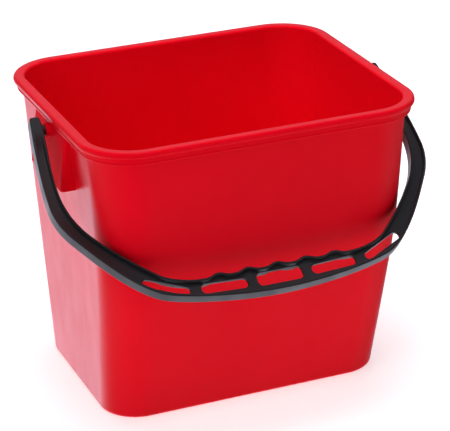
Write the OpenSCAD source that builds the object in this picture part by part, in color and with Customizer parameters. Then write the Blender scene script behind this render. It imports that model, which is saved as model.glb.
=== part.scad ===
// Wash bucket: a rectangular moulded tub with a rolled rim and a swinging bail handle.
// Millimetres, +Z up, the front of the tub faces -Y.
// Origin: on the ground under the middle of the line through the two handle pivots.

/* [Tub] */
// width over the rim
rim_w = 270; // [256:1:290]
// depth over the rim
rim_d = 234; // [222:1:250]
// height to the top of the rim
body_h = 240; // [230:1:250]
// outer corner radius of the rim, seen from above
rim_r = 43; // [38:1:48]
// overhang of the rim beyond the wall
rim_over = 7; // [7:0.5:9]
// height of the rim band
rim_band = 11; // [9:0.5:13]
// wall thickness
wall_t = 2.2; // [1.8:0.1:2.6]
// draft of the walls, degrees from upright
draft = 3; // [2:0.1:3.4]
// corner radius of the wall at the ground
base_r = 31; // [26:1:34]

/* [Front wall] */
// distance from the pivot line to the front edge of the base
base_front = 71.5; // [66:0.5:80]
// height at which the front wall turns from leaning back to nearly upright
kink_z = 130; // [116:1:140]
// softness of that turn
kink_soft = 6; // [3:0.5:10]

/* [Floor] */
// thickness of the floor panel
floor_t = 2.4; // [2:0.1:3]
// height of the foot ring under the floor panel
foot_h = 2; // [1.5:0.1:3]
// width of the foot ring
foot_w = 6; // [4:0.5:8]
// radius between the floor and the walls inside
floor_r = 8; // [6:0.5:10]

/* [Handle brackets] */
// height of the pivot line above the ground
pivot_z = 223.5; // [221:0.5:225]
// length of a bracket along the side of the tub, at the pivot line
bracket_len = 73; // [64:1:80]
// lower edge of the bracket above the ground
bracket_z = 186; // [178:1:198]
// outer face of a bracket from the middle of the tub, at the pivot line
bracket_x = 132.3; // [132:0.1:132.6]
// outward flare of the bracket face towards its lower edge, degrees
face_flare = 7.5; // [4:0.5:8]
// flare of the bracket ends towards its lower edge, degrees
end_flare = 1.5; // [0:0.5:4]
// radius of the upright bracket corners
bracket_r = 2.5; // [2:0.5:3]
// wall thickness of a bracket
bracket_t = 2.4; // [2:0.1:2.6]
// radius of the round boss about the pivot bore
boss_r = 5.2; // [4.6:0.1:5.4]

/* [Handle] */
// rest angle of the handle, degrees from hanging straight down towards the front
rest_angle = 54.5; // [54:0.5:56]
// thickness of the handle across its plane
bail_t = 10; // [9:0.5:11]
// width of the raised edges of the handle
flange_w = 2.2; // [1.8:0.1:2.6]
// thickness of the web between the raised edges
web_t = 3; // [2.4:0.1:4]
// reach of the handle from the pivots to the outer edge of the grip
reach = 174; // [172:0.5:176]
// widest half width of the handle
half_w = 154; // [153:0.5:156]
// spacing of the finger ridges
ridge_pitch = 23.5; // [22:0.1:24]
// depth of the finger hollows between the ridges
ridge_h = 2.6; // [1:0.1:3]

/* [Pivot pins] */
// radius of a pivot pin
pin_r = 2.5; // [2:0.1:2.8]
// radial clearance of a pin in its bore
fit = 0.05; // [0.02:0.01:0.1]
// radius of the collar between the boss and the handle
collar_r = 4.2; // [3.6:0.1:4.6]
// radius of the snap head inside the bracket
head_r = 3.4; // [3:0.1:3.6]

/* [Hidden] */
corner_n = 10;
$fn = 48;
wall_hx = rim_w / 2 - rim_over;
wall_hy = rim_d / 2 - rim_over;
wall_r = rim_r - rim_over;
band_z = body_h - rim_band;
slope = tan(draft);
base_back = wall_hy - slope * band_z;
kink_y = wall_hy - slope * (band_z - kink_z);
front_slope = (kink_y - base_front) / kink_z;
floor_z = foot_h + floor_t;
boss_x = bracket_x + 3.5;
head_x = 128.1;
collar_end = 138;
pin_end = 143;
gap = 0.3;
eps = 0.5;

// Rounded rectangle at height z: half width hx, front and back distances, corner radius r.
function ring(z, hx, yf, yb, r) = [
    for (c = [[1, 1, 0], [-1, 1, 90], [-1, -1, 180], [1, -1, 270]])
        for (i = [0 : corner_n])
            let (a = c[2] + 90 * i / corner_n)
            [c[0] * (hx - r) + r * cos(a), (c[1] > 0 ? yb - r : r - yf) + r * sin(a), z]];

// Front wall distance: two straight slopes blended at the turn.
function front_y(z) = let (a = base_front + front_slope * z, b = wall_hy - slope * (band_z - z))
    (a + b - sqrt(pow(a - b, 2) + pow(kink_soft, 2))) / 2 + kink_soft / 20;

// Ring on the wall, set in by d.
function wall(z, d) = ring(z, wall_hx - slope * (band_z - z) - d, front_y(z) - d,
    base_back + slope * z - d, base_r + (wall_r - base_r) * min(1, z / band_z) - d);

// Ring on the rim, set in by d, at height h below the top.
function rim(h, d) = ring(body_h - h, rim_w / 2 - d, rim_d / 2 - d, rim_d / 2 - d, rim_r - d);

wall_zs = [4, 30, 60, 84, 100, 110, 118, 124, 130, 136, 144, 156, 176, 200, band_z];

tub_rings = concat(
    [wall(foot_h, foot_w + 1.2), wall(0, foot_w), wall(0, 2.4), wall(0.7, 1), wall(2, 0.2)],
    [for (z = wall_zs) wall(z, 0)],
    [wall(body_h - 4.5, 0)],
    [rim(4.6, 4.6), rim(rim_band - 0.6, 4.6), rim(rim_band, 4.1), rim(rim_band, 3.2)],
    [rim(rim_band - 0.6, 2.7), rim(rim_band - 1.4, 2.7), rim(rim_band - 2.2, 3), rim(5.4, 3)],
    [rim(4.8, 2.4), rim(4.4, 0.6), rim(3.8, 0.1), rim(3, 0), rim(2, 0), rim(1.1, 0.4)],
    [rim(0.4, 1.1), rim(0.05, 2.1), rim(0, 3.2), rim(0, 5.6), rim(0.1, 6.6)],
    [rim(0.5, 7.9), rim(1.3, 8.8), rim(2.4, rim_over + wall_t)],
    [for (i = [len(wall_zs) - 1 : -1 : 1]) wall(wall_zs[i], wall_t)],
    [for (a = [0 : 15 : 90])
        wall(floor_z + floor_r * (1 - sin(a)), wall_t + floor_r * (1 - cos(a)))]);

module tub() {
    n = len(tub_rings[0]);
    m = len(tub_rings);
    polyhedron(
        points = [for (r = tub_rings) for (p = r) p],
        faces = concat(
            [[for (i = [0 : n - 1]) i]],
            [for (k = [0 : m - 2]) for (i = [0 : n - 1])
                [k * n + i, (k + 1) * n + i, (k + 1) * n + (i + 1) % n, k * n + (i + 1) % n]],
            [[for (i = [n - 1 : -1 : 0]) (m - 1) * n + i]]));
}

// Plan of a bracket at height z, set in by d; its root lies at x0 before the wall's middle.
function bracket_ring(z, d, x0) = let (
    x = bracket_x + tan(face_flare) * (pivot_z - z) - d,
    y = bracket_len / 2 + tan(end_flare) * (pivot_z - z) - d,
    root = wall_hx - slope * (band_z - z) - wall_t / 2 - x0,
    r = bracket_r - d / 2)
    concat([[root, -y, z]],
        [for (a = [-90 : 15 : 0]) [x - r + r * cos(a), r - y + r * sin(a), z]],
        [for (a = [0 : 15 : 90]) [x - r + r * cos(a), y - r + r * sin(a), z]],
        [[root, y, z]]);

module bracket_block(d, x0, z0, z1) {
    low = bracket_ring(z0, d, x0);
    high = bracket_ring(z1, d, x0);
    n = len(low);
    polyhedron(
        points = concat(low, high),
        faces = concat(
            [[for (i = [0 : n - 1]) i]],
            [for (i = [0 : n - 1]) [i, n + i, n + (i + 1) % n, (i + 1) % n]],
            [[for (i = [n - 1 : -1 : 0]) n + i]]));
}

module bracket() {
    difference() {
        bracket_block(0, 0, bracket_z, body_h - 8);
        bracket_block(bracket_t, 4, bracket_z - eps, body_h - 12.5);
    }
    translate([bracket_x - 0.6, 0, pivot_z]) rotate([0, 90, 0]) cylinder(r = boss_r, h = boss_x - bracket_x + 0.6);
}

module pin_bore(x0, x1) {
    translate([x0, 0, pivot_z]) rotate([0, 90, 0]) cylinder(r = pin_r + fit, h = x1 - x0);
}

module bucket_shell() {
    color([0.78, 0.02, 0.05]) difference() {
        union() {
            tub();
            bracket();
            mirror([1, 0, 0]) bracket();
        }
        pin_bore(bracket_x - bracket_t - 1, boss_x + 1);
        mirror([1, 0, 0]) pin_bore(bracket_x - bracket_t - 1, boss_x + 1);
    }
}

// Point at t on the cubic curve with control points c.
function bez(c, t) = pow(1 - t, 3) * c[0] + 3 * t * pow(1 - t, 2) * c[1]
    + 3 * t * t * (1 - t) * c[2] + pow(t, 3) * c[3];
function run(c, n) = [for (i = [0 : n - 1]) bez(c, i / n)];

// Right half of the handle: x outwards, y down from the pivot line.
outer_half = concat(
    [[144, -10], [145.2, -9.7], [146.1, -8.8], [146.4, -7.6]],
    run([[146.5, -6], [150, 16], [half_w, 46], [half_w, 71]], 8),
    run([[half_w, 71], [half_w, 83], [149.5, 94], [143, 103.5]], 8),
    run([[143, 103.5], [130, 123.5], [112, 150], [93, 160]], 8),
    run([[93, 160], [82.5, 165.5], [40, reach], [0, reach]], 12),
    [[0, reach]]);
inner_half = concat(
    [[140.4, -10], [139.1, -9.7], [138.2, -8.8], [138, -7.6]],
    run([[138, -6], [138.2, 14], [143.6, 34.5], [143.6, 58]], 8),
    run([[143.6, 58], [143.6, 71], [141, 82.5], [135.5, 93]], 7),
    run([[135.5, 93], [128.5, 107.5], [105, 132], [90, 144.5]], 8),
    run([[90, 144.5], [83.5, 149], [71.5, 153.3], [2.5 * ridge_pitch, 153.3]], 6),
    [for (i = [30 : -1 : 0]) let (x = i * ridge_pitch / 12)
        [x, 153.3 - ridge_h * pow((1 + cos(360 * x / ridge_pitch)) / 2, 1.6)]]);

// Unit normal of a half outline at i; past its end the outline goes on as its mirror image.
function side(p, i) = let (
    a = p[i - 1],
    b = i == len(p) - 1 ? [-a[0], a[1]] : p[i + 1],
    t = (b - a) / norm(b - a))
    [t[1], -t[0]];
function shifted(p, d, first) = [for (i = [first : len(p) - 1]) p[i] + d * side(p, i)];
function flip(p) = [for (i = [len(p) - 1 : -1 : 0]) [-p[i][0], p[i][1]]];
function back(p) = [for (i = [len(p) - 1 : -1 : 0]) p[i]];
function full(p) = concat(p, flip(p));

module outline(outer, inner) {
    scale([1, -1]) polygon(concat(full(outer), back(full(inner))));
}

// A through slot in the web, centred at (x, y), turned by a.
module slot(x, y, long, wide, a) {
    r = min(3.8, wide / 2 - 0.2);
    translate([x, -y, -bail_t]) rotate(a) linear_extrude(2 * bail_t) {
        square([long, wide - 2 * r], center = true);
        square([long - 2 * r, wide], center = true);
        for (i = [-1, 1]) for (j = [-1, 1])
            translate([i * (long / 2 - r), j * (wide / 2 - r)]) circle(r);
    }
}

module bail_slots() {
    slot(0, 161.6, 36.5, 11.2, 0);
    for (s = [-1, 1]) {
        slot(s * 44.3, 161.1, 36.5, 8.4, s * 3);
        slot(s * 88, 153, 36, 6.6, s * 24.5);
    }
}

module handle_bail() {
    recess = (bail_t - web_t) / 2;
    rim_out = [for (p = shifted(outer_half, -flange_w, 4)) if (p[1] > 5.4) p];
    rim_in = [for (p = shifted(inner_half, flange_w, 4)) if (p[1] > 5.4) p];
    color([0.05, 0.05, 0.055]) translate([0, 0, pivot_z]) rotate([90 - rest_angle, 0, 0])
        difference() {
            translate([0, 0, -bail_t / 2]) linear_extrude(bail_t) outline(outer_half, inner_half);
            for (k = [web_t / 2, -web_t / 2 - recess - eps])
                translate([0, 0, k]) linear_extrude(recess + eps) outline(rim_out, rim_in);
            bail_slots();
            for (s = [0, 1]) mirror([s, 0, 0]) rotate([0, 90, 0]) translate([0, 0, collar_end - 1])
                cylinder(r = pin_r + fit, h = pin_end + gap + 1 - collar_end);
        }
}

// Pin on the +X side: shaft, collar against the handle, snap head inside the bracket.
module pin() {
    color([0.06, 0.06, 0.065]) translate([0, 0, pivot_z]) rotate([0, 90, 0]) {
        translate([0, 0, head_x]) cylinder(r = pin_r, h = pin_end - head_x);
        translate([0, 0, boss_x + gap]) cylinder(r = collar_r, h = collar_end - boss_x - gap);
        translate([0, 0, head_x]) cylinder(r = head_r, h = 1.3);
    }
}

module right_pivot_pin() {
    pin();
}

module left_pivot_pin() {
    mirror([1, 0, 0]) pin();
}

bucket_shell();
handle_bail();
left_pivot_pin();
right_pivot_pin();
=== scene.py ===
from math import sin, cos, tan, radians, hypot, pi

import bmesh
import bpy
from mathutils import Matrix, Vector


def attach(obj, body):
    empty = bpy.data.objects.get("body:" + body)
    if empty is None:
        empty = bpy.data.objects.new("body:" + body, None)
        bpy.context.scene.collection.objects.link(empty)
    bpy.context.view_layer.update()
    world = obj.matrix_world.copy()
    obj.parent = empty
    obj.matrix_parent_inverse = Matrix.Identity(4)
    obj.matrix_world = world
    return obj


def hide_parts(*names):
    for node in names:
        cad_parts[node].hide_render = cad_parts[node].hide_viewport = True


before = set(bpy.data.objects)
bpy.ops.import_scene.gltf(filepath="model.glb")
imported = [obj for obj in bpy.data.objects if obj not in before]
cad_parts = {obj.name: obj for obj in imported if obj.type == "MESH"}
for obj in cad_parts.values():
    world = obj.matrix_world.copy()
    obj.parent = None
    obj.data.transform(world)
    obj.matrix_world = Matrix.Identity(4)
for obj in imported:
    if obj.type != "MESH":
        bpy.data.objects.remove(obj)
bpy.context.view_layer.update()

# Wash bucket: tub with two handle brackets, and a swinging handle on two pins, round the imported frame.
MM = 0.001

# ---------------------------------------------------------------- sizes, mm
RIM_W, RIM_D, BODY_H = 270.0, 234.0, 240.0
RIM_R, RIM_OVER, RIM_BAND = 43.0, 7.0, 11.0
WALL_T, DRAFT, BASE_R = 2.2, 3.0, 31.0
BASE_FRONT, KINK_Z, KINK_SOFT = 71.5, 130.0, 6.0
FLOOR_T, FOOT_H, FOOT_W, FLOOR_R = 2.4, 2.0, 6.0, 8.0
PIVOT_Z, BRACKET_LEN, BRACKET_Z, BRACKET_X = 223.5, 73.0, 186.0, 132.3
FACE_FLARE, END_FLARE, BRACKET_R, BRACKET_T = 7.5, 1.5, 2.5, 2.4
BOSS_R, BOSS_OUT = 5.2, 3.5
REST_ANGLE, BAIL_T, FLANGE_W, WEB_T = 54.5, 10.0, 2.2, 3.0
REACH, HALF_W, RIDGE_PITCH, RIDGE_H = 174.0, 154.0, 23.5, 2.6
GRIP_EDGE = 153.3                    # straight inner edge of the grip, from the pivot
ARM_END = -10.0                      # end of the arm, above the pivot
RECESS_START, RECESS_RUN = 0.142, 0.24  # along the first curve of the arm
PIN_R, PIN_FIT = 2.5, 0.05
TUB_SHARP, HANDLE_SHARP = 32, 38     # edges bent by more degrees than this stay sharp

WALL_HX = RIM_W / 2 - RIM_OVER
WALL_HY = RIM_D / 2 - RIM_OVER
WALL_R = RIM_R - RIM_OVER
BAND_Z = BODY_H - RIM_BAND
SLOPE = tan(radians(DRAFT))
BASE_BACK = WALL_HY - SLOPE * BAND_Z
KINK_Y = WALL_HY - SLOPE * (BAND_Z - KINK_Z)
FRONT_SLOPE = (KINK_Y - BASE_FRONT) / KINK_Z
FLOOR_Z = FOOT_H + FLOOR_T


# ---------------------------------------------------------------- mesh tools
def to_mesh(bm, name):
    """Mesh in metres from a bmesh in mm, faces turned outward."""
    if bm.calc_volume(signed=True) < 0:
        bmesh.ops.reverse_faces(bm, faces=bm.faces)
    mesh = bpy.data.meshes.new(name)
    bm.to_mesh(mesh)
    bm.free()
    mesh.transform(Matrix.Scale(MM, 4))
    return mesh


def smooth(mesh, sharp):
    mesh.shade_smooth()
    mesh.set_sharp_from_angle(angle=radians(sharp))


def weigh_normals(obj, weight=50):
    mod = obj.modifiers.new("normals", "WEIGHTED_NORMAL")
    mod.keep_sharp = True
    mod.weight = weight


def add_piece(bm, name, body, sharp):
    """Turns a bmesh in mm into an object in metres that rides on a body."""
    mesh = to_mesh(bm, name)
    smooth(mesh, sharp)
    obj = bpy.data.objects.new(name, mesh)
    bpy.context.collection.objects.link(obj)
    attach(obj, body)
    return obj


def loft(bm, rings):
    """Skins closed rings of equal length and caps both ends."""
    rows = [[bm.verts.new(p) for p in ring] for ring in rings]
    n = len(rows[0])
    for a, b in zip(rows, rows[1:]):
        for i in range(n):
            j = (i + 1) % n
            bm.faces.new((a[i], a[j], b[j], b[i]))
    bm.faces.new(rows[0][::-1])
    bm.faces.new(rows[-1])


# ---------------------------------------------------------------- tub
CORNER_N = 20
CORNERS = ((1, 1, 0), (-1, 1, 90), (-1, -1, 180), (1, -1, 270))  # side of x, side of y, first angle


def ring(z, hx, yf, yb, r):
    """Rounded rectangle at height z: half width, front and back depth, corner radius."""
    pts = []
    for sx, sy, start in CORNERS:
        for i in range(CORNER_N + 1):
            a = radians(start + 90 * i / CORNER_N)
            cy = yb - r if sy > 0 else r - yf
            pts.append((sx * (hx - r) + r * cos(a), cy + r * sin(a), z))
    return pts


def front_y(z):
    """Depth of the front wall: steep above the kink, sloping in below it, with a soft bend."""
    a = BASE_FRONT + FRONT_SLOPE * z
    b = WALL_HY - SLOPE * (BAND_Z - z)
    return (a + b - hypot(a - b, KINK_SOFT)) / 2 + KINK_SOFT / 20


def wall(z, d):
    """Ring of the wall at height z, inset by d."""
    r = BASE_R + (WALL_R - BASE_R) * min(1, z / BAND_Z) - d
    return ring(z, WALL_HX - SLOPE * (BAND_Z - z) - d, front_y(z) - d, BASE_BACK + SLOPE * z - d, r)


def rim(h, d):
    """Ring of the rim, h below its top and inset by d."""
    return ring(BODY_H - h, RIM_W / 2 - d, RIM_D / 2 - d, RIM_D / 2 - d, RIM_R - d)


def arc(cx, cy, r, a0, a1, n):
    """Points (x, y) on an arc from a0 to a1 degrees."""
    return [(cx + r * cos(radians(a0 + (a1 - a0) * i / n)), cy + r * sin(radians(a0 + (a1 - a0) * i / n)))
            for i in range(n + 1)]


def tub_rings():
    """Rings from under the floor, up the outside, over the rim and down the inside."""
    zs = [4, 12, 24, 40, 58, 76, 90, 100, 108, 114, 119, 123, 126, 129, 132, 136, 141, 148,
          158, 172, 188, 204, 216, BAND_Z]
    out = [wall(FOOT_H, FOOT_W + 14), wall(FOOT_H, FOOT_W + 1.6)]
    out += [wall(FOOT_H - 0.4, FOOT_W + 0.6), wall(0.5, FOOT_W), wall(0.1, FOOT_W - 0.4), wall(0, FOOT_W - 1)]
    out += [wall(z, d) for d, z in arc(3, 3, 3, 270, 180, 7)]
    out += [wall(z, 0) for z in zs]
    out += [wall(BODY_H - 5.6, 0), wall(BODY_H - 4.9, -0.3), wall(BODY_H - 4.6, -1)]
    # under the lip, the hanging skirt with its bead, and the rolled lip
    out += [rim(4.6, 5.4), rim(4.7, 4.9), rim(5.1, 4.6), rim(RIM_BAND - 0.8, 4.6), rim(RIM_BAND - 0.2, 4.4)]
    out += [rim(RIM_BAND, 3.9), rim(RIM_BAND, 3.4), rim(RIM_BAND - 0.2, 2.9), rim(RIM_BAND - 0.7, 2.65)]
    out += [rim(RIM_BAND - 1.2, 2.65), rim(RIM_BAND - 1.7, 2.8), rim(RIM_BAND - 2.3, 3), rim(5.7, 3)]
    out += [rim(5.1, 2.85), rim(4.75, 2.3), rim(4.6, 1.4)]
    out += [rim(h, d) for d, h in arc(1.1, 3.6, 1.1, 90, 180, 4)]
    out += [rim(h, d) for d, h in arc(2.6, 2.6, 2.6, 180, 270, 8)]
    out += [rim(0, 4.2), rim(0.02, 5.4), rim(0.12, 6.4)]
    out += [rim(0.12 + 2.4 - h, d) for d, h in arc(6.8, 0, 2.4, 90, 0, 6)]
    out += [wall(z, WALL_T) for z in reversed(zs[1:-1]) if z > FLOOR_Z + FLOOR_R]
    for i in range(11):
        a = radians(9 * i)
        out.append(wall(FLOOR_Z + FLOOR_R * (1 - sin(a)), WALL_T + FLOOR_R * (1 - cos(a))))
    out.append(wall(FLOOR_Z, WALL_T + FLOOR_R + 10))
    return out


def bracket_plan(z, d):
    """Open outline of a bracket at height z, inset by d, from the wall round the face and back."""
    x = BRACKET_X + tan(radians(FACE_FLARE)) * (PIVOT_Z - z) - d
    y = BRACKET_LEN / 2 + tan(radians(END_FLARE)) * (PIVOT_Z - z) - d
    root = WALL_HX - SLOPE * (BAND_Z - z) - WALL_T / 2
    r = BRACKET_R - d / 2
    pts = [(root, -y)]
    pts += [(px, py - y + r) for px, py in arc(x - r, 0, r, -90, 0, 8)]
    pts += [(px, py + y - r) for px, py in arc(x - r, 0, r, 0, 90, 8)]
    pts.append((root, y))
    return [(px, py, z) for px, py in pts]


def add_bracket(bm, side):
    """Hollow bracket, open below, with the boss round the pivot bore."""
    top, low, t, e = BODY_H - 8, BRACKET_Z, BRACKET_T, 0.7
    outer = [(top, 0), (226, 0), (212, 0), (198, 0), (low + 4, 0)]
    edge = [(low + e - z, d) for d, z in arc(e, 0, e, 180, 90, 4)]
    back = [(low + e - z, d) for d, z in arc(t - e, 0, e, 90, 0, 4)]
    inner = [(low + 4, t), (198, t), (212, t), (BODY_H - 12, t)]
    rows = []
    for z, d in outer + edge + back + inner:
        rows.append([bm.verts.new((side * x, y, zz)) for x, y, zz in bracket_plan(z, d)])
    for a, b in zip(rows, rows[1:] + rows[:1]):
        for i in range(len(a) - 1):
            bm.faces.new((a[i], a[i + 1], b[i + 1], b[i]))
    bm.faces.new([row[0] for row in rows])
    bm.faces.new([row[-1] for row in rows[::-1]])
    x0, x1, rb = BRACKET_X - 1.0, BRACKET_X + BOSS_OUT, PIN_R + PIN_FIT
    prof = [(x0, BOSS_R + 0.6), (BRACKET_X + 0.1, BOSS_R + 0.5), (BRACKET_X + 0.5, BOSS_R)]
    prof += [(x1 - 0.6 + px, BOSS_R - 0.6 + pr) for pr, px in arc(0, 0, 0.6, 0, 90, 4)]
    prof += [(x1, rb + 0.3), (x1 - 0.3, rb), (x0, rb)]
    rings = []
    sides = 48
    for k in range(sides):
        a = 2 * pi * k / sides
        rings.append([bm.verts.new((side * x, r * cos(a), PIVOT_Z + r * sin(a))) for x, r in prof])
    for a, b in zip(rings, rings[1:] + rings[:1]):
        for i in range(len(prof)):
            j = (i + 1) % len(prof)
            bm.faces.new((a[i], a[j], b[j], b[i]))


def make_tub():
    bm = bmesh.new()
    loft(bm, tub_rings())
    pieces = [add_piece(bm, "tub_moulding", "bucket", TUB_SHARP)]
    for side, name in ((-1, "left_handle_bracket"), (1, "right_handle_bracket")):
        bm = bmesh.new()
        add_bracket(bm, side)
        pieces.append(add_piece(bm, name, "bucket", TUB_SHARP))
    for piece in pieces:
        weigh_normals(piece, 80)
        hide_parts("bucket_shell")
    return pieces


# ---------------------------------------------------------------- handle
def bez(c, t):
    """Point on a cubic curve."""
    s = 1 - t
    return tuple(s ** 3 * c[0][i] + 3 * t * s * s * c[1][i] + 3 * t * t * s * c[2][i] + t ** 3 * c[3][i]
                 for i in (0, 1))


# outlines of the right half, from the arm end to the grip
GRIP_U = 2.5 * RIDGE_PITCH
OUTER = [[(146.5, -6), (150, 16), (HALF_W, 46), (HALF_W, 71)],
         [(HALF_W, 71), (HALF_W, 83), (149.5, 94), (143, 103.5)],
         [(143, 103.5), (130, 123.5), (112, 150), (93, 160)],
         [(93, 160), (82.5, 165.5), (40, REACH), (0, REACH)]]
INNER = [[(138, -6), (138.2, 14), (143.6, 34.5), (143.6, 58)],
         [(143.6, 58), (143.6, 71), (141, 82.5), (135.5, 93)],
         [(135.5, 93), (128.5, 107.5), (105, 132), (90, 144.5)],
         [(90, 144.5), (83.5, 149), (71.5, GRIP_EDGE), (GRIP_U, GRIP_EDGE)]]


def outer_at(u):
    """Point on the last outer curve at distance u from the middle."""
    lo, hi = 0.0, 1.0
    for _ in range(40):
        mid = (lo + hi) / 2
        if bez(OUTER[3], mid)[0] > u:
            lo = mid
        else:
            hi = mid
    return bez(OUTER[3], lo)


def ridge(u):
    """Inner edge of the grip, with its finger ridges."""
    return GRIP_EDGE - RIDGE_H * ((1 + cos(2 * pi * u / RIDGE_PITCH)) / 2) ** 1.6


def recess(t):
    """How deep the recess is at t on the arm's first curve: 0 solid, 1 down to the web."""
    rec = min(1, max(0, (t - RECESS_START) / RECESS_RUN))
    return rec * rec * (3 - 2 * rec)


def half_stations():
    """(outer point, inner point, half depth, recess 0..1) from the arm end to the middle of the grip."""
    out = []
    h, r = BAIL_T / 2, 2.4
    for i in range(7):
        a = radians(15 * i)
        inset = r * (1 - sin(a))
        v = ARM_END + r * (1 - cos(a))
        out.append(((146.3 - inset, v), (138 + inset, v), h - 0.8 * (1 - sin(a)), 0.0))
    for t in (0.02, 0.06, 0.1, 0.13, RECESS_START, 0.155, 0.17, 0.185, 0.2):
        out.append((bez(OUTER[0], t), bez(INNER[0], t * 1.12), h, recess(t)))
    for i in range(1, 25):
        t = 0.2 + 0.8 * i / 25
        ti = 0.224 + 0.776 * i / 25
        out.append((bez(OUTER[0], t), bez(INNER[0], ti), h, recess(t)))
    for k, n in ((1, 16), (2, 30)):
        out += [(bez(OUTER[k], i / n), bez(INNER[k], i / n), h, 1.0) for i in range(n)]
    n = 16
    for i in range(n):
        u = 93 + (GRIP_U - 93) * i / n
        out.append((outer_at(u), bez(INNER[3], i / n), h, 1.0))
    n = 110
    for i in range(n + 1):
        u = GRIP_U * (1 - i / n)
        out.append((outer_at(u) if i < n else (0, REACH), (u, ridge(u)), h, 1.0))
    return out


def section(w, h, rec):
    """Closed outline of the handle section: s across from the inner edge, k through its depth."""
    c = min(1, w / 8)
    f, r, e = FLANGE_W * c, c, 0.5 * c
    web = h - rec * (h - WEB_T / 2)
    g = 0.6 * rec
    front = [(r - r * cos(radians(a)), h - r + r * sin(radians(a))) for a in (0, 22.5, 45, 67.5, 90)]
    front += [(f - e, h), (f - e * 0.3, h - e * 0.3 * rec), (f, h - e * rec), (f + 0.12 * c, web + g)]
    front += [(f + 0.3 * c, web + 0.3 * g), (f + 0.72 * c, web), (w / 2, web)]
    mirrored = [(w - s, k) for s, k in reversed(front[:-1])]
    top = front + mirrored
    return top + [(s, -k) for s, k in reversed(top)]


def bail_point(u, v, k):
    """Point of the handle's own plane (u across, v from the pivot, k through it) at rest, mm."""
    t = radians(REST_ANGLE)
    return (u, -v * sin(t) - k * cos(t), PIVOT_Z - v * cos(t) + k * sin(t))


def rounded_rect(cx, cy, long, wide, r, angle, grow):
    """Outline of a slot, turned by angle and grown outward."""
    pts = []
    a0 = radians(angle)
    n = 8
    for sx, sy, start in CORNERS:
        for i in range(n + 1):
            a = radians(start + 90 * i / n)
            x = sx * (long / 2 - r) + (r + grow) * cos(a)
            y = sy * (wide / 2 - r) + (r + grow) * sin(a)
            pts.append((cx + x * cos(a0) - y * sin(a0), cy + x * sin(a0) + y * cos(a0)))
    return pts


# middle, length, width, corner radius and angle of each slot
SLOTS = [(0, 161.6, 36.5, 11.2, 3.8, 0)]
for s in (-1, 1):
    SLOTS += [(s * 44.3, 161.1, 36.5, 8.4, 3.8, -s * 3), (s * 88, 153, 36, 6.6, 3.1, -s * 24.5)]


def make_bail():
    half = half_stations()
    full = list(half)
    full += [((-o[0], o[1]), (-i[0], i[1]), h, rec) for o, i, h, rec in reversed(half[:-1])]
    rings = []
    for o, i, h, rec in full:
        a = Vector(o) - Vector(i)
        w = a.length
        a /= w
        rings.append([bail_point(i[0] + a.x * s, i[1] + a.y * s, k) for s, k in section(w, h, rec)])
    bm = bmesh.new()
    loft(bm, rings)
    bail = add_piece(bm, "bail_moulding", "handle", HANDLE_SHARP)

    bm = bmesh.new()
    half_web = WEB_T / 2
    # depth of each cutter outline and how much it grows, so that the slot's edges are rounded off
    levels = [(-7, 0.5), (-half_web - 0.01, 0.45), (-half_web + 0.45, 0), (half_web - 0.45, 0),
              (half_web + 0.01, 0.45), (7, 0.5)]
    for cx, cy, long, wide, r, angle in SLOTS:
        loft(bm, [[bail_point(u, v, k) for u, v in rounded_rect(cx, cy, long, wide, r, angle, grow)]
                  for k, grow in levels])
    cutter = bpy.data.objects.new("slot_cutter", to_mesh(bm, "slot_cutter"))
    bpy.context.collection.objects.link(cutter)
    mod = bail.modifiers.new("slots", "BOOLEAN")
    mod.operation = "DIFFERENCE"
    mod.solver = "EXACT"
    mod.object = cutter
    deps = bpy.context.evaluated_depsgraph_get()
    cut = bpy.data.meshes.new_from_object(bail.evaluated_get(deps))
    bail.modifiers.clear()
    bail.data = cut
    bpy.data.objects.remove(cutter)
    smooth(cut, HANDLE_SHARP)
    weigh_normals(bail)
    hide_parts("handle_bail")
    return bail


# ---------------------------------------------------------------- materials
def node(nt, kind, **values):
    n = nt.nodes.new(kind)
    for key, value in values.items():
        setattr(n, key, value)
    return n


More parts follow.
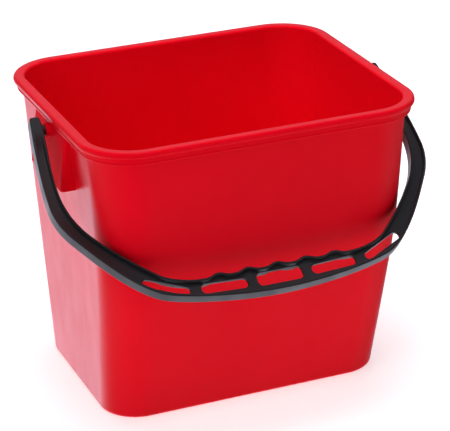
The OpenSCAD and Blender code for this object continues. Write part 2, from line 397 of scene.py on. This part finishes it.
def plastic(name, dark, base, light, rough, rough_var, scuff, grain, grain_strength, ripple,
            tint=(1, 1, 1), specular=0.5):
    """Moulded plastic: slight pigment clouds, fine grain, a long moulding ripple and light rubbing."""
    mat = bpy.data.materials.new(name)
    mat.use_nodes = True
    nt = mat.node_tree
    nt.nodes.clear()
    out = node(nt, "ShaderNodeOutputMaterial")
    bsdf = node(nt, "ShaderNodeBsdfPrincipled")
    bsdf.inputs["IOR"].default_value = 1.5
    bsdf.inputs["Specular IOR Level"].default_value = specular
    bsdf.inputs["Specular Tint"].default_value = (*tint, 1)
    coord = node(nt, "ShaderNodeTexCoord")
    cloud = node(nt, "ShaderNodeTexNoise")
    cloud.inputs["Scale"].default_value = 9.0
    cloud.inputs["Detail"].default_value = 4.0
    cloud.inputs["Roughness"].default_value = 0.6
    ramp = node(nt, "ShaderNodeValToRGB")
    first, last = ramp.color_ramp.elements
    first.position, first.color = 0.32, (*dark, 1)
    last.position, last.color = 0.68, (*light, 1)
    ramp.color_ramp.elements.new(0.5).color = (*base, 1)
    speck = node(nt, "ShaderNodeTexNoise")
    speck.inputs["Scale"].default_value = grain
    speck.inputs["Detail"].default_value = 3.0
    wave = node(nt, "ShaderNodeTexNoise")
    wave.inputs["Scale"].default_value = 34.0
    wave.inputs["Detail"].default_value = 1.5
    scratch = node(nt, "ShaderNodeTexNoise")
    scratch.inputs["Scale"].default_value = 60.0
    scratch.inputs["Detail"].default_value = 4.0
    scratch.inputs["Roughness"].default_value = 0.6
    stretch = node(nt, "ShaderNodeMapping")
    stretch.inputs["Scale"].default_value = (1.0, 1.0, 0.4)
    rough_map = node(nt, "ShaderNodeMapRange")
    rough_map.inputs["From Min"].default_value = 0.35
    rough_map.inputs["From Max"].default_value = 0.75
    rough_map.inputs["To Min"].default_value = rough - rough_var
    rough_map.inputs["To Max"].default_value = rough + rough_var + scuff
    bump_fine = node(nt, "ShaderNodeBump")
    bump_fine.inputs["Strength"].default_value = grain_strength
    bump_fine.inputs["Distance"].default_value = 0.0002
    bump_long = node(nt, "ShaderNodeBump")
    bump_long.inputs["Strength"].default_value = ripple
    bump_long.inputs["Distance"].default_value = 0.0008
    link = nt.links.new
    link(coord.outputs["Object"], cloud.inputs["Vector"])
    link(coord.outputs["Object"], speck.inputs["Vector"])
    link(coord.outputs["Object"], wave.inputs["Vector"])
    link(coord.outputs["Object"], stretch.inputs["Vector"])
    link(stretch.outputs["Vector"], scratch.inputs["Vector"])
    link(cloud.outputs["Fac"], ramp.inputs["Fac"])
    link(ramp.outputs["Color"], bsdf.inputs["Base Color"])
    link(scratch.outputs["Fac"], rough_map.inputs["Value"])
    link(rough_map.outputs["Result"], bsdf.inputs["Roughness"])
    link(wave.outputs["Fac"], bump_long.inputs["Height"])
    link(speck.outputs["Fac"], bump_fine.inputs["Height"])
    link(bump_long.outputs["Normal"], bump_fine.inputs["Normal"])
    link(bump_fine.outputs["Normal"], bsdf.inputs["Normal"])
    link(bsdf.outputs["BSDF"], out.inputs["Surface"])
    return mat


RED_GLOSS = (0.5, 0.01, 0.02)
RED_SHADES = ((0.77, 0.0016, 0.0110), (0.80, 0.0020, 0.0120), (0.83, 0.0024, 0.0130))
RED = plastic("red_polypropylene", *RED_SHADES, rough=0.32, rough_var=0.02, scuff=0.03,
              grain=900.0, grain_strength=0.05, ripple=0.015, tint=RED_GLOSS)
# painted light: a lighter red inside the tub, in place of the light that comes through the real walls
RED_INSIDE_PAINTED_LIGHT = plastic("red_polypropylene_inside_painted_light",
                     (0.90, 0.0020, 0.0125), (0.93, 0.0025, 0.0140), (0.95, 0.0030, 0.0155),
                     rough=0.36, rough_var=0.02, scuff=0.05,
                     grain=900.0, grain_strength=0.05, ripple=0.015, tint=RED_GLOSS)
RED_SATIN = plastic("red_polypropylene_satin", *RED_SHADES, rough=0.5, rough_var=0.03, scuff=0.05,
                    grain=1100.0, grain_strength=0.10, ripple=0.02, tint=RED_GLOSS, specular=0.03)
BLACK = plastic("black_polypropylene",
                (0.014, 0.014, 0.016), (0.018, 0.018, 0.020), (0.023, 0.023, 0.025),
                rough=0.32, rough_var=0.03, scuff=0.10, grain=1400.0, grain_strength=0.12, ripple=0.04)
PIN = plastic("pin_plastic",
              (0.018, 0.018, 0.020), (0.022, 0.022, 0.024), (0.028, 0.028, 0.030),
              rough=0.36, rough_var=0.03, scuff=0.10, grain=1400.0, grain_strength=0.10, ripple=0.04)


def paint(obj, mat):
    obj.data.materials.clear()
    obj.data.materials.append(mat)


tub, *brackets = make_tub()
paint(tub, RED)
tub.data.materials.append(RED_INSIDE_PAINTED_LIGHT)
# painted light: faces turned in towards the middle of the tub, and its floor, get the lighter red that stands in
# for light through the walls
for face in tub.data.polygons:
    n, c = face.normal, face.center
    faces_axis = -n.x * c.x - n.y * c.y > 0.35 * hypot(c.x, c.y)
    is_floor = n.z > 0.8 and c.z < 0.03
    if faces_axis or is_floor:
        face.material_index = 1
for piece in brackets:
    paint(piece, RED_SATIN)
paint(make_bail(), BLACK)
for name in ("left_pivot_pin", "right_pivot_pin"):
    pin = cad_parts[name]
    if not pin.material_slots:
        pin.data.materials.append(PIN)
    for slot in pin.material_slots:
        slot.link = "OBJECT"
        slot.material = PIN

# ---------------------------------------------------------------- camera
AZ, EL, ROLL, DIST = radians(-21.52), radians(23.58), radians(-1.52), 1.7113
TARGET = Vector((0, 0, 0.12))
LENS, SENSOR = 171.1, 36.0
AIM_RIGHT, AIM_UP = 0.0090, 0.0070
back = Vector((sin(AZ) * cos(EL), -cos(AZ) * cos(EL), sin(EL)))
right = Vector((cos(AZ), sin(AZ), 0))
up = back.cross(right)
right, up = cos(ROLL) * right + sin(ROLL) * up, cos(ROLL) * up - sin(ROLL) * right
place = TARGET + back * DIST
aim = TARGET + right * AIM_RIGHT + up * AIM_UP
back = (place - aim).normalized()
right = up.cross(back).normalized()
up = back.cross(right)
cam_data = bpy.data.cameras.new("camera")
cam_data.lens = LENS
cam_data.sensor_width = SENSOR
cam_data.sensor_fit = "HORIZONTAL"
cam_data.clip_end = 50
cam = bpy.data.objects.new("camera", cam_data)
bpy.context.collection.objects.link(cam)
turn = Matrix((right, up, back)).transposed().to_4x4()
cam.matrix_world = Matrix.Translation(place) @ turn
bpy.context.scene.camera = cam

# ---------------------------------------------------------------- floor, light
bm = bmesh.new()
bmesh.ops.create_grid(bm, x_segments=8, y_segments=8, size=6)
mesh = bpy.data.meshes.new("floor")
bm.to_mesh(mesh)
bm.free()
floor = bpy.data.objects.new("floor", mesh)
floor.location.z = -0.0002  # just under the foot
bpy.context.collection.objects.link(floor)
floor.visible_glossy = False  # the world's patches stand in for it in reflections
mat = bpy.data.materials.new("studio_floor")
mat.use_nodes = True
bsdf = mat.node_tree.nodes["Principled BSDF"]
bsdf.inputs["Base Color"].default_value = (0.9, 0.9, 0.9, 1)
bsdf.inputs["Roughness"].default_value = 0.9
bsdf.inputs["Specular IOR Level"].default_value = 0.0
bsdf.inputs["Emission Color"].default_value = (1, 1, 1, 1)
bsdf.inputs["Emission Strength"].default_value = 0.55
mesh.materials.append(mat)


def area(name, loc, look, size, power):
    """Square soft light that makes no highlight."""
    data = bpy.data.lights.new(name, "AREA")
    data.shape = "RECTANGLE"
    data.size = data.size_y = size
    data.energy = power
    obj = bpy.data.objects.new(name, data)
    obj.location = loc
    obj.rotation_euler = (Vector(look) - Vector(loc)).to_track_quat("-Z", "Y").to_euler()
    obj.visible_glossy = False
    bpy.context.collection.objects.link(obj)


area("key_left", (-2.4, -1.2, 1.6), (0, 0, 0.1), 1.6, 20)
area("top_front", (-0.3, -1.2, 2.5), (0, 0, 0.1), 1.0, 5)
area("top", (0, 0.0, 2.8), (0, 0, 0.0), 1.6, 36)
area("tub_fill", (0, -0.05, 0.9), (0, 0.02, 0.1), 0.16, 0.85)

world = bpy.data.worlds.new("studio")
bpy.context.scene.world = world
world.use_nodes = True
nt = world.node_tree
nt.nodes.clear()
out = node(nt, "ShaderNodeOutputWorld")
bg = node(nt, "ShaderNodeBackground")
bg.inputs["Color"].default_value = (0.96, 0.96, 1.12, 1)
bg_cam = node(nt, "ShaderNodeBackground")
bg_cam.inputs["Color"].default_value = (1, 1, 1, 1)
bg_cam.inputs["Strength"].default_value = 1.1
path = node(nt, "ShaderNodeLightPath")
mix = node(nt, "ShaderNodeMixShader")
coords = node(nt, "ShaderNodeTexCoord")


def lobe(axis, inner, outer, value):
    """Soft bright patch of the studio round a fixed direction: inner and outer are cosines."""
    dot = node(nt, "ShaderNodeVectorMath", operation="DOT_PRODUCT")
    dot.inputs[1].default_value = Vector(axis).normalized()
    nt.links.new(coords.outputs["Generated"], dot.inputs[0])
    rng = node(nt, "ShaderNodeMapRange", interpolation_type="SMOOTHSTEP")
    rng.inputs["From Min"].default_value = outer
    rng.inputs["From Max"].default_value = inner
    rng.inputs["To Min"].default_value = 0
    rng.inputs["To Max"].default_value = value
    nt.links.new(dot.outputs["Value"], rng.inputs["Value"])
    return rng.outputs["Result"]


AMBIENT = 0.04
total = None
for patch in (((0.0, 0.6, -0.8), 0.88, 0.70, 1.9), ((0.2, 0.75, 0.6), 0.95, 0.6, 0.3), ((0, 0, 1), 1.0, 0.0, 0.2)):
    add = node(nt, "ShaderNodeMath", operation="ADD")
    add.inputs[1].default_value = AMBIENT
    nt.links.new(lobe(*patch), add.inputs[0])
    if total is not None:
        nt.links.new(total, add.inputs[1])
    total = add.outputs[0]
nt.links.new(total, bg.inputs["Strength"])
nt.links.new(path.outputs["Is Camera Ray"], mix.inputs["Fac"])
nt.links.new(bg.outputs[0], mix.inputs[1])
nt.links.new(bg_cam.outputs[0], mix.inputs[2])
nt.links.new(mix.outputs[0], out.inputs["Surface"])
bpy.context.scene.view_settings.view_transform = "Standard"
